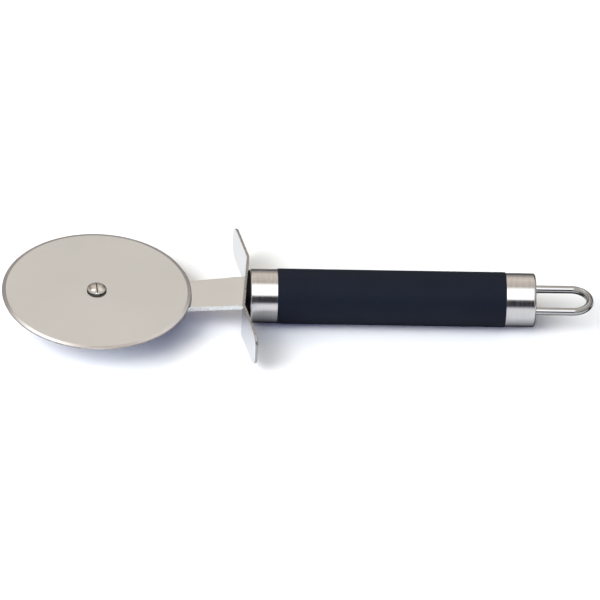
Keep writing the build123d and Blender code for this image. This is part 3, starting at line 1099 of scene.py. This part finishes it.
class CUTTER_OT_handle(CutterOperator, bpy.types.Operator):
    """Models the two steel ends of the handle, a near-black wedge of painted shade in the gap
    behind the guard, and the soft sleeve
    """

    bl_idname = "cutter.handle"
    bl_label = "Handle"

    def cup(self, sizes, name, node, closed_x, open_x, corner, material):
        """A steel cup, closed at one end, with its closed end's edge rounded."""
        inner = ferrule_radius - sizes.cup_wall
        floor_x = closed_x + math.copysign(1.0, open_x - closed_x) * sizes.end_wall
        corners = [
            (0, closed_x, 0),
            (ferrule_radius, closed_x, corner),
            (ferrule_radius, open_x, sizes.mouth_break),
            (inner, open_x, sizes.mouth_break),
            (inner, floor_x, 0),
            (0, floor_x, 0),
        ]
        bm = about_handle(corners, sizes.steps, segments=10, closed=False)
        return place_piece(bm, name, [node], [material], sharp=CUP_SHARP)

    def gap_shade(self, sizes, guard_sizes, arm_sizes, material):
        """Painted shade: a near-black wedge that fills the gap between the guard and the front end.
        """
        radius = ferrule_radius - sizes.ferrule_corner
        back = ferrule_low.x - sizes.gap_shade_clearance
        cant = math.tan(guard_sizes.cant)
        face_x = guard_x + guard_sizes.thickness / 2 * math.hypot(1.0, cant) + sizes.gap_shade_clearance
        bm = disc(radius, Matrix.Translation((back, 0, axis_z)) @ LENGTHWISE)
        for vert in doubled(bm):
            vert.co.x = face_x + cant * vert.co.y
        piece = place_piece(bm, "front_gap_shade", [], [material])
        arm_middle = Vector((back, 0, arm_high.z - arm_sizes.thickness / 2))
        gap = guard_sizes.slot_gap
        width = arm_high.y - arm_low.y + gap
        cut_with(piece, block(arm_middle, (4 * radius, width, arm_sizes.thickness + gap)))

    def sleeve(self, sizes, material):
        """The soft sleeve between the two steel ends."""
        outer = half(grip_low, grip_high)
        inner = ferrule_radius - sizes.cup_wall
        corners = [
            (inner, grip_low.x, 0),
            (outer, grip_low.x, sizes.grip_corner),
            (outer, grip_high.x, sizes.grip_corner),
            (inner, grip_high.x, 0),
        ]
        bm = about_handle(corners, sizes.steps, segments=6)
        even_flats(place_piece(bm, "soft_sleeve", ["grip_sleeve"], [material]))

    def execute(self, context):
        names = ("handle", "arm", "guard", "loop", "finishes")
        sizes, arm_sizes, guard_sizes, loop_sizes, finishes = self.groups(context, *names)
        brushed = turned_steel("ends brushed", finishes.ends)
        ends = (ferrule_low.x, ferrule_high.x, sizes.ferrule_corner)
        front = self.cup(sizes, "front_cup", "front_ferrule", *ends, brushed)
        slot_middle = Vector((ferrule_low.x, 0, arm_high.z - arm_sizes.thickness / 2))
        slot_size = (
            3 * sizes.end_wall,
            arm_sizes.tang_width + 2 * sizes.slot_gap,
            arm_sizes.thickness + 2 * sizes.slot_gap,
        )
        cut_with(front, block(slot_middle, slot_size))
        ends = (cap_high.x, cap_low.x, sizes.cap_corner)
        back = self.cup(sizes, "back_cup", "rear_cap", *ends, brushed)
        hole_radius = wire_radius + loop_sizes.hole_gap
        for side in (-1, 1):
            place = Matrix.Translation((cap_high.x, side * bend_radius, axis_z)) @ LENGTHWISE
            hole = cylinder(hole_radius, 3 * sizes.end_wall, place, SMALL_HOLE_FACETS)
            cut_with(back, hole)
        for piece in (front, back):
            sharpen(piece, CUP_SHARP)
            even_flats(piece)
        # Painted shade: the wedge behind the guard is near-black plastic that stands in for the
        # shade in that gap
        black = moulded_plastic("collar plastic", finishes.gap_shade, specular=0.05)
        self.gap_shade(sizes, guard_sizes, arm_sizes, black)
        self.sleeve(sizes, soft_rubber("sleeve rubber", finishes.grip))
        return {"FINISHED"}


class CUTTER_OT_loop(CutterOperator, bpy.types.Operator):
    """Models the hanging loop, a round wire bent into a U"""

    bl_idname = "cutter.loop"
    bl_label = "Hanging loop"

    def execute(self, context):
        sizes, finishes = self.groups(context, "loop", "finishes")
        centre = Vector((loop_high.x - wire_radius - bend_radius, 0, axis_z))
        place = Matrix.Translation(centre - Vector((0, bend_radius, 0))) @ LENGTHWISE
        bm = bmesh.new()
        bmesh.ops.create_circle(bm, segments=sizes.steps, radius=wire_radius, matrix=place)
        first = bm.edges[:]
        made = bmesh.ops.spin(
            bm,
            geom=first + bm.verts[:],
            cent=centre,
            axis=(0, 0, 1),
            angle=math.pi,
            steps=sizes.bend_steps,
        )
        back = Vector((loop_low.x - centre.x, 0, 0))
        for edges in (first, only(made["geom_last"], BMEdge)):
            leg = bmesh.ops.extrude_edge_only(bm, edges=edges)["geom"]
            rim = [edge for edge in only(leg, BMEdge) if len(edge.link_faces) == 1]
            bmesh.ops.translate(bm, vec=back, verts=only(leg, BMVert))
            bmesh.ops.holes_fill(bm, edges=rim, sides=0)
            bevel(bm, rim, sizes.end_chamfer, segments=1)
        bright = polished_steel("wire polished", finishes.wire, 0.06, 0.11, ripple=0.008)
        place_piece(bm, "wire_loop", ["hanging_loop"], [bright])
        return {"FINISHED"}


class CUTTER_OT_inside(CutterOperator, bpy.types.Operator):
    """Finishes the pieces that the handle and the wheel hide"""

    bl_idname = "cutter.inside"
    bl_label = "Hidden pieces"

    def execute(self, context):
        [finishes] = self.groups(context, "finishes")
        dark = moulded_plastic("plug plastic", finishes.plugs)
        bare = polished_steel("inner steel", finishes.fixings, 0.25, 0.35)
        brass = polished_steel("bush brass", finishes.bush, 0.18, 0.26)
        for node, material in (
            ("front_plug", dark),
            ("rear_plug", dark),
            ("core_tube", bare),
            ("tang_pin", bare),
            ("wheel_bush", brass),
        ):
            materials = frame["nodes"][node].data.materials
            materials.clear()
            materials.append(material)
        return {"FINISHED"}


class CUTTER_OT_studio(CutterOperator, bpy.types.Operator):
    """Lays the floor and sets the lights, the world and the camera"""

    bl_idname = "cutter.studio"
    bl_label = "Studio"

    def light(self, name, rise, turn, size, power, tone):
        """A soft square light that the camera and the steel don't see."""
        data = bpy.data.lights.new(name, "AREA")
        data.shape = "SQUARE"
        data.size = size
        data.energy = power / math.sin(rise)
        data.color = tone
        level = math.cos(rise)
        way = Vector((math.sin(turn) * level, -math.cos(turn) * level, math.sin(rise)))
        lamp = add_object(name, data)
        lamp.location = way * LIGHT_DISTANCE
        lamp.rotation_euler = way.to_track_quat("Z", "Y").to_euler()
        lamp.visible_camera = False
        lamp.visible_glossy = False
        return lamp

    def surroundings(self, scene):
        """A room that only steel and rubber mirror; to the camera it is white."""
        world = bpy.data.worlds.new("studio")
        world.use_nodes = True
        world.cycles_visibility.diffuse = False
        scene.world = world
        tree = world.node_tree
        place = add_node(tree, "ShaderNodeTexCoord")
        parts = add_node(tree, "ShaderNodeSeparateXYZ", links={0: (place, "Generated")})
        nearer = number_step(tree, "MULTIPLY", {0: (parts, "Y")}, {1: -1.0})
        rise = number_step(tree, "ARCTAN2", {0: (parts, "Z"), 1: (nearer, "Value")})
        turn = spread(tree, rise, "Value", 0.0, 1.0, 0.0, math.pi)
        stops = [(degrees / 180.0, tone) for degrees, tone in ROOM_BANDS]
        bands = ramp_node(tree, turn, "Result", stops)
        on_wall, on_far = (
            spread(tree, rise, "Value", 0.0, 1.0, *(math.radians(degrees) for degrees in edge))
            for edge in (WALL_START, FAR_START)
        )
        wall, near, far, on_right = (
            graded(tree, parts, "X", stops)
            for stops in (WALL_SIDES, NEAR_SHARE, FAR_SHARE, DARK_SIDE)
        )
        glow, dim = (graded(tree, parts, "Z", stops, GLOW_TONE) for stops in (GLOW, DARK_GLOW))
        lit_wall = vector_step(tree, "MULTIPLY", {0: (bands, "Color"), 1: (wall, "Color")})
        middle = mixed(tree, (on_wall, "Result"), (bands, "Color"), (lit_wall, "Vector"))
        share = mixed(tree, (on_far, "Result"), (near, "Color"), (far, "Color"))
        beyond = mixed(tree, (on_right, "Color"), (glow, "Color"), (dim, "Color"))
        room = (mixed(tree, (share, "Result"), (beyond, "Result"), (middle, "Result")), "Result")
        for way, edge, level in LAMPS:
            toward = Vector(way).normalized()
            facing = vector_step(tree, "DOT_PRODUCT", {0: (place, "Generated")}, {1: toward})
            lamp = spread(tree, facing, "Value", 0.0, level, *edge)
            room = (vector_step(tree, "ADD", {0: room, 1: (lamp, "Result")}), "Vector")
        path = add_node(tree, "ShaderNodeLightPath")
        seen = mixed(tree, (path, "Is Camera Ray"), room)
        join(tree, seen, "Result", tree.nodes["Background"], "Color")

    def execute(self, context):
        [sizes] = self.groups(context, "studio")
        scene = context.scene
        floor = mesh_object(disc(FLOOR_RADIUS), "floor")
        floor.data.materials.append(floor_paint("floor paint", sizes.floor))
        for name, rise, turn, size, share, tone in LIGHTS:
            rise, turn = math.radians(rise), math.radians(turn)
            self.light(name, rise, turn, size, sizes.power * share, tone)
        self.surroundings(scene)
        data = bpy.data.cameras.new("camera")
        data.lens = sizes.lens
        data.sensor_width = SENSOR_WIDTH
        data.clip_start, data.clip_end = CLIP_RANGE
        camera = add_object("camera", data)
        turn = (
            Matrix.Rotation(sizes.azimuth, 4, "Z")
            @ Matrix.Rotation(QUARTER - sizes.elevation, 4, "X")
            @ Matrix.Rotation(sizes.roll, 4, "Z")
        )
        target = Matrix.Translation(Vector(CAMERA_TARGET) * MM)
        camera.matrix_world = target @ turn @ Matrix.Translation((0, 0, sizes.distance))
        scene.camera = camera
        scene.view_settings.view_transform = "Standard"
        scene.view_settings.look = "None"
        return {"FINISHED"}


OPERATORS = (
    CUTTER_OT_wheel,
    CUTTER_OT_axle,
    CUTTER_OT_arm,
    CUTTER_OT_guard,
    CUTTER_OT_handle,
    CUTTER_OT_loop,
    CUTTER_OT_inside,
    CUTTER_OT_studio,
)


class CUTTER_PT_panel(bpy.types.Panel):
    """Sizes and steps of the cutting wheel"""

    bl_idname = "CUTTER_PT_panel"
    bl_label = "Cutting wheel"
    bl_space_type = "VIEW_3D"
    bl_region_type = "UI"
    bl_category = "Cutter"

    def draw(self, context):
        for step in OPERATORS:
            self.layout.operator(step.bl_idname)
        for name in SIZE_GROUPS:
            group = getattr(context.scene, name)
            box = self.layout.box()
            box.label(text=name.split("_", 1)[1].capitalize())
            for field in group.bl_rna.properties:
                if field.identifier not in {"rna_type", "name"}:
                    box.prop(group, field.identifier)


def register():
    """Adds the sizes, the operators and the panel."""
    for name, group in SIZE_GROUPS.items():
        bpy.utils.register_class(group)
        setattr(bpy.types.Scene, name, PointerProperty(type=group))
    for step in OPERATORS:
        bpy.utils.register_class(step)
    bpy.utils.register_class(CUTTER_PT_panel)


def unregister():
    """Takes away what register added."""
    bpy.utils.unregister_class(CUTTER_PT_panel)
    for step in reversed(OPERATORS):
        bpy.utils.unregister_class(step)
    for name, group in SIZE_GROUPS.items():
        delattr(bpy.types.Scene, name)
        bpy.utils.unregister_class(group)


def main():
    """Runs every step."""
    register()
    bpy.ops.cutter.wheel()
    bpy.ops.cutter.axle()
    bpy.ops.cutter.arm()
    bpy.ops.cutter.guard()
    bpy.ops.cutter.handle()
    bpy.ops.cutter.loop()
    bpy.ops.cutter.inside()
    bpy.ops.cutter.studio()
    bpy.context.view_layer.update()


if __name__ == "__main__":
    main()
